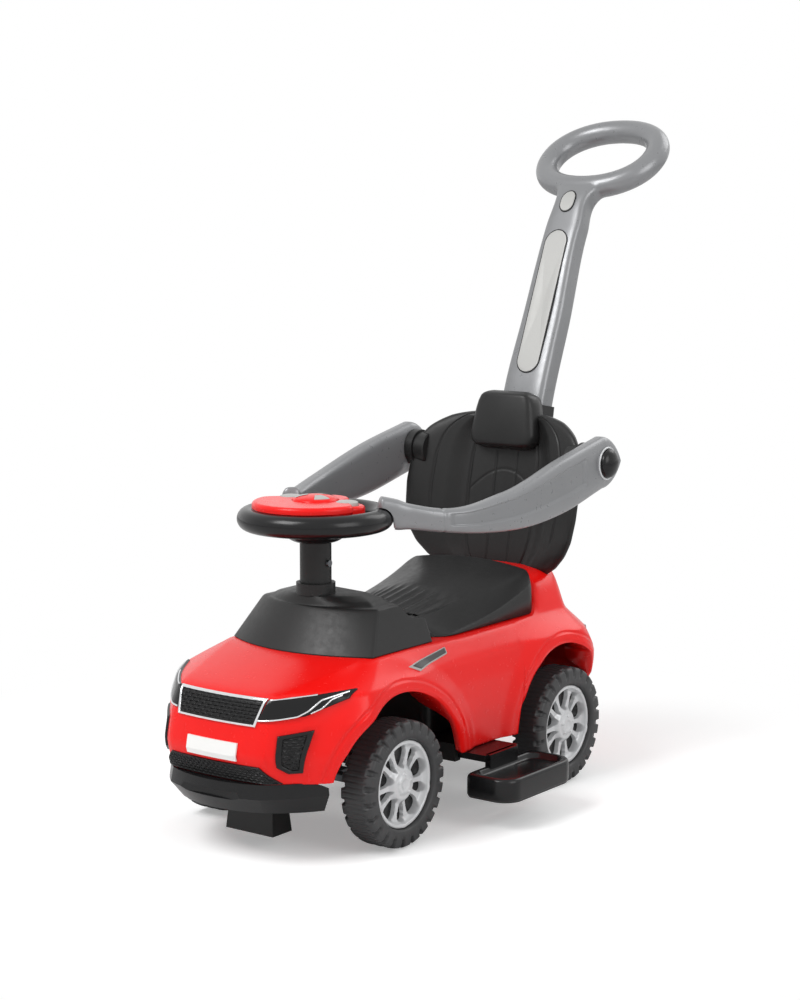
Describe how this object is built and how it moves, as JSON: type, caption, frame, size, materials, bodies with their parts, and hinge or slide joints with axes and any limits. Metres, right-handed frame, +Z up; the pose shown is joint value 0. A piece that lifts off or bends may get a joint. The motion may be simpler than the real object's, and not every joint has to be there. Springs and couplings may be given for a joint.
{
  "type": "ride-on push car",
  "caption": "Toddler ride-on car with a rear push handle, winged seat back, lift-up guard arms, slide-in footrests, steering wheel and under-seat storage.",
  "frame": {"origin": "On the floor, below the middle of the rear axle", "axes": "+X forward, +Y to the car's left, +Z up"},
  "size_m": [0.8872, 0.432, 0.8378],
  "materials": {
    "red_shell": "gloss moulded polypropylene",
    "black_plastic": "fine satin grain",
    "black_trim": "gloss trim",
    "silver_plastic": "metallic silver moulding",
    "rim_silver": "bright silver moulding",
    "bright_trim": "plated plastic",
    "tyre_plastic": "dull blow-moulded tread",
    "white_plate": "bare white plate",
    "light_lens": "dark lens",
    "red_lens": "dark red lens",
    "button_silver": "satin silver",
    "steel": "plain zinc-plated rod"
  },
  "bodies": {
    "car": {"body_shell": "red_shell", "chassis_pan": "black_plastic", "front_foot": "black_plastic", "dashboard": "black_plastic", "column_collar": "black_plastic", "storage_box": "black_plastic", "backrest": "black_plastic", "headrest_pad": "black_plastic", "handle_socket": "black_plastic", "arm_spacers": "black_plastic", "front_beam": "black_plastic", "front_bumper": "black_trim", "lower_grille": "black_trim", "grille_mesh": "black_trim", "fog_vent_left": "black_trim", "fog_vent_right": "black_trim", "grille_frame": "bright_trim", "number_plate": "white_plate", "headlight_left": "light_lens", "headlight_right": "light_lens", "tail_light_left": "red_lens", "tail_light_right": "red_lens", "rear_axle": "steel", "arm_pins": "steel", "seat_hinge_pins": "steel"},
    "steering_column": {"steering_wheel": "black_plastic", "steering_rod": "steel", "column_tube": "black_plastic", "column_screw": "steel", "horn_panel": "red_shell"},
    "horn": {"horn_button": "button_silver"},
    "music_left": {"music_button_left": "button_silver"},
    "music_right": {"music_button_right": "button_silver"},
    "left_knuckle": {"knuckle_left": "black_plastic"},
    "right_knuckle": {"knuckle_right": "black_plastic"},
    "steering_link": {"tie_rod": "steel"},
    "front_left_wheel": {"tyre_front_left": "tyre_plastic", "rim_front_left": "rim_silver"},
    "front_right_wheel": {"tyre_front_right": "tyre_plastic", "rim_front_right": "rim_silver"},
    "rear_left_wheel": {"tyre_rear_left": "tyre_plastic", "rim_rear_left": "rim_silver"},
    "rear_right_wheel": {"tyre_rear_right": "tyre_plastic", "rim_rear_right": "rim_silver"},
    "left_arm": {"guard_arm_left": "silver_plastic", "arm_knob_left": "black_trim"},
    "right_arm": {"guard_arm_right": "silver_plastic", "arm_knob_right": "black_trim"},
    "left_footrest": {"footrest_left": "black_plastic"},
    "right_footrest": {"footrest_right": "black_plastic"},
    "handle": {"push_handle": "silver_plastic", "handle_panel": "silver_plastic", "handle_badge": "bright_trim"},
    "seat": {"seat_lid": "black_plastic"}
  },
  "joints": [
    {"name": "steering", "type": "hinge", "parent": "car", "child": "steering_column", "pos_m": [0.325, 0, 0.3645], "axis": [0, 0, 1], "range_deg": [-18, 18]},
    {"name": "kingpin_left", "type": "hinge", "parent": "car", "child": "left_knuckle", "pos_m": [0.344, 0.08, 0.0737], "axis": [0, 0, 1], "range_deg": [-18, 18]},
    {"name": "kingpin_right", "type": "hinge", "parent": "car", "child": "right_knuckle", "pos_m": [0.344, -0.08, 0.0737], "axis": [0, 0, 1], "range_deg": [-18, 18]},
    {"name": "tie_rod_pin", "type": "hinge", "parent": "left_knuckle", "child": "steering_link", "pos_m": [0.309, 0.08, 0.0554], "axis": [0, 0, 1], "range_deg": [-18, 18]},
    {"name": "front_left_roll", "type": "hinge", "parent": "left_knuckle", "child": "front_left_wheel", "pos_m": [0.344, 0.127, 0.0737], "axis": [0, 1, 0], "continuous": true},
    {"name": "front_right_roll", "type": "hinge", "parent": "right_knuckle", "child": "front_right_wheel", "pos_m": [0.344, -0.127, 0.0737], "axis": [0, 1, 0], "continuous": true},
    {"name": "rear_left_roll", "type": "hinge", "parent": "car", "child": "rear_left_wheel", "pos_m": [0, 0.127, 0.0737], "axis": [0, 1, 0], "continuous": true},
    {"name": "rear_right_roll", "type": "hinge", "parent": "car", "child": "rear_right_wheel", "pos_m": [0, -0.127, 0.0737], "axis": [0, 1, 0], "continuous": true},
    {"name": "left_arm_pivot", "type": "hinge", "parent": "car", "child": "left_arm", "pos_m": [-0.056, 0.15, 0.402], "axis": [0, -1, 0], "range_deg": [0, 80]},
    {"name": "right_arm_pivot", "type": "hinge", "parent": "car", "child": "right_arm", "pos_m": [-0.056, -0.15, 0.402], "axis": [0, -1, 0], "range_deg": [0, 80]},
    {"name": "left_footrest_slide", "type": "slide", "parent": "car", "child": "left_footrest", "axis": [0, -1, 0], "range_m": [0, 0.06]},
    {"name": "right_footrest_slide", "type": "slide", "parent": "car", "child": "right_footrest", "axis": [0, 1, 0], "range_m": [0, 0.06]},
    {"name": "handle_lift", "type": "slide", "parent": "car", "child": "handle", "axis": [-0.1736, 0, 0.9848], "range_m": [0, 0.17]},
    {"name": "seat_hinge", "type": "hinge", "parent": "car", "child": "seat", "pos_m": [0.214, 0, 0.2235], "axis": [0, 1, 0], "range_deg": [0, 70]},
    {"name": "horn_press", "type": "slide", "parent": "steering_column", "child": "horn", "axis": [0, 0, -1], "range_m": [0, 0.0027], "stiffness_N_per_m": 300, "springref_m": -0.003},
    {"name": "music_left_press", "type": "slide", "parent": "steering_column", "child": "music_left", "axis": [0, 0, -1], "range_m": [0, 0.0027], "stiffness_N_per_m": 300, "springref_m": -0.003},
    {"name": "music_right_press", "type": "slide", "parent": "steering_column", "child": "music_right", "axis": [0, 0, -1], "range_m": [0, 0.0027], "stiffness_N_per_m": 300, "springref_m": -0.003}
  ],
  "couplings": [
    {"joint": "kingpin_left", "follows": "steering", "ratio": 1},
    {"joint": "kingpin_right", "follows": "steering", "ratio": 1},
    {"joint": "tie_rod_pin", "follows": "steering", "ratio": -1}
  ]
}
